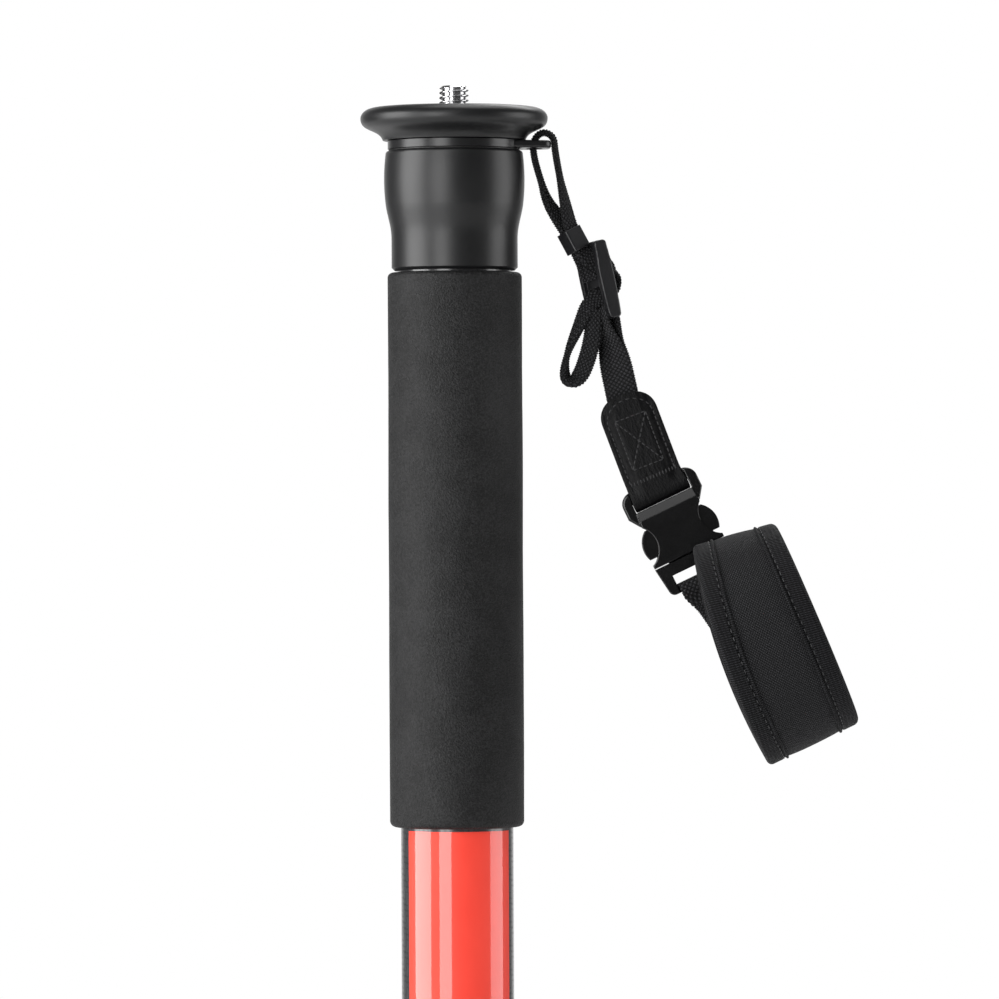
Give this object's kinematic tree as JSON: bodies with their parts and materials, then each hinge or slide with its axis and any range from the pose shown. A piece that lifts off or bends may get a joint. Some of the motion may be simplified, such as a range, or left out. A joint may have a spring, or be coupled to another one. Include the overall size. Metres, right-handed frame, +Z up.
{
  "type": "camera monopod",
  "caption": "Collapsed camera monopod: round screw platform, foam grip, telescoping tubes with twist locks, rubber foot, and a swivelling cord strap with buckle and padded wrist band.",
  "frame": {"origin": "centre of the camera platform's top face, on the axis of the camera screw", "axes": "+Z up the column's axis towards the camera, +X towards the ear of the strap ring, +Y away from the viewer of the picture"},
  "size_m": [0.1568, 0.0793, 0.481],
  "materials": {
    "anodised": "satin black anodised",
    "steel": "turned",
    "ring_metal": "satin black",
    "keeper_metal": "satin black",
    "pad_rubber": "matte",
    "foam": "matte foam",
    "carbon": "satin carbon weave",
    "grip_rubber": "matte ribbed",
    "foot_rubber": "matte",
    "washer_plastic": "smooth",
    "shim_plastic": "smooth",
    "buckle_plastic": "gloss",
    "webbing": "braided",
    "leather": "smooth satin",
    "band_knit": "knitted face over foam",
    "band_binding": "ribbed tape"
  },
  "bodies": {
    "head": {"platform_disc": "anodised", "platform_pad": "pad_rubber", "camera_screw": "steel", "screw_retainer": "steel", "swivel_washer": "washer_plastic", "collar": "anodised", "foam_grip": "foam", "upper_tube": "carbon", "lock_ferrule_1": "anodised"},
    "strap_ring": {"strap_ring": "ring_metal"},
    "strap": {"strap_cord": "webbing", "cord_keeper": "keeper_metal", "cord_slider": "buckle_plastic", "strap_webbing": "webbing", "leather_tab": "leather", "buckle_female": "buckle_plastic", "buckle_male": "buckle_plastic", "band_tab": "webbing", "wrist_band": "band_knit", "band_binding_left": "band_binding", "band_binding_right": "band_binding"},
    "prong_right": {"buckle_prong_right": "buckle_plastic"},
    "prong_left": {"buckle_prong_left": "buckle_plastic"},
    "section_2": {"tube_2": "carbon", "guide_shims_2": "shim_plastic", "lock_ferrule_2": "anodised"},
    "section_3": {"tube_3": "carbon", "guide_shims_3": "shim_plastic", "lock_ferrule_3": "anodised"},
    "section_4": {"tube_4": "carbon", "guide_shims_4": "shim_plastic", "lock_ferrule_4": "anodised"},
    "section_5": {"tube_5": "carbon", "guide_shims_5": "shim_plastic", "foot_plug": "anodised", "foot_stud": "steel", "rubber_foot": "foot_rubber"},
    "collet_1": {"lock_collet_1": "shim_plastic"},
    "nut_1": {"lock_nut_1": "anodised", "lock_grip_1": "grip_rubber"},
    "collet_2": {"lock_collet_2": "shim_plastic"},
    "nut_2": {"lock_nut_2": "anodised", "lock_grip_2": "grip_rubber"},
    "collet_3": {"lock_collet_3": "shim_plastic"},
    "nut_3": {"lock_nut_3": "anodised", "lock_grip_3": "grip_rubber"},
    "collet_4": {"lock_collet_4": "shim_plastic"},
    "nut_4": {"lock_nut_4": "anodised", "lock_grip_4": "grip_rubber"}
  },
  "joints": [
    {"name": "strap_swivel", "type": "hinge", "parent": "head", "child": "strap_ring", "pos_m": [0, 0, -0.01195], "axis": [0, 0, 1], "continuous": true},
    {"name": "strap_swing", "type": "hinge", "parent": "strap_ring", "child": "strap", "pos_m": [0.02945, 0, -0.01195], "axis": [0, -1, 0], "range_deg": [-8, 60]},
    {"name": "prong_right_squeeze", "type": "hinge", "parent": "strap", "child": "prong_right", "pos_m": [0.08292, 0.0005, -0.13887], "axis": [0, -1, 0], "range_deg": [0, 8], "stiffness_Nm_per_rad": 0.5},
    {"name": "prong_left_squeeze", "type": "hinge", "parent": "strap", "child": "prong_left", "pos_m": [0.0665, 0.0005, -0.14671], "axis": [0, 1, 0], "range_deg": [0, 8], "stiffness_Nm_per_rad": 0.5},
    {"name": "section_2_slide", "type": "slide", "parent": "head", "child": "section_2", "axis": [0, 0, -1], "range_m": [0, 0.268]},
    {"name": "section_3_slide", "type": "slide", "parent": "section_2", "child": "section_3", "axis": [0, 0, -1], "range_m": [0, 0.297]},
    {"name": "section_4_slide", "type": "slide", "parent": "section_3", "child": "section_4", "axis": [0, 0, -1], "range_m": [0, 0.326]},
    {"name": "section_5_slide", "type": "slide", "parent": "section_4", "child": "section_5", "axis": [0, 0, -1], "range_m": [0, 0.355]},
    {"name": "collet_1_slide", "type": "slide", "parent": "head", "child": "collet_1", "axis": [0, 0, -1], "range_m": [0, 0.0005]},
    {"name": "nut_1_twist", "type": "hinge", "parent": "collet_1", "child": "nut_1", "pos_m": [0, 0, -0.336], "axis": [0, 0, 1], "range_deg": [0, 120]},
    {"name": "collet_2_slide", "type": "slide", "parent": "section_2", "child": "collet_2", "axis": [0, 0, -1], "range_m": [0, 0.0005]},
    {"name": "nut_2_twist", "type": "hinge", "parent": "collet_2", "child": "nut_2", "pos_m": [0, 0, -0.368], "axis": [0, 0, 1], "range_deg": [0, 120]},
    {"name": "collet_3_slide", "type": "slide", "parent": "section_3", "child": "collet_3", "axis": [0, 0, -1], "range_m": [0, 0.0005]},
    {"name": "nut_3_twist", "type": "hinge", "parent": "collet_3", "child": "nut_3", "pos_m": [0, 0, -0.4], "axis": [0, 0, 1], "range_deg": [0, 120]},
    {"name": "collet_4_slide", "type": "slide", "parent": "section_4", "child": "collet_4", "axis": [0, 0, -1], "range_m": [0, 0.0005]},
    {"name": "nut_4_twist", "type": "hinge", "parent": "collet_4", "child": "nut_4", "pos_m": [0, 0, -0.432], "axis": [0, 0, 1], "range_deg": [0, 120]}
  ],
  "couplings": [
    {"joint": "nut_1_twist", "follows": "collet_1_slide", "rad_per_m": 4188.8},
    {"joint": "nut_2_twist", "follows": "collet_2_slide", "rad_per_m": 4188.8},
    {"joint": "nut_3_twist", "follows": "collet_3_slide", "rad_per_m": 4188.8},
    {"joint": "nut_4_twist", "follows": "collet_4_slide", "rad_per_m": 4188.8}
  ]
}
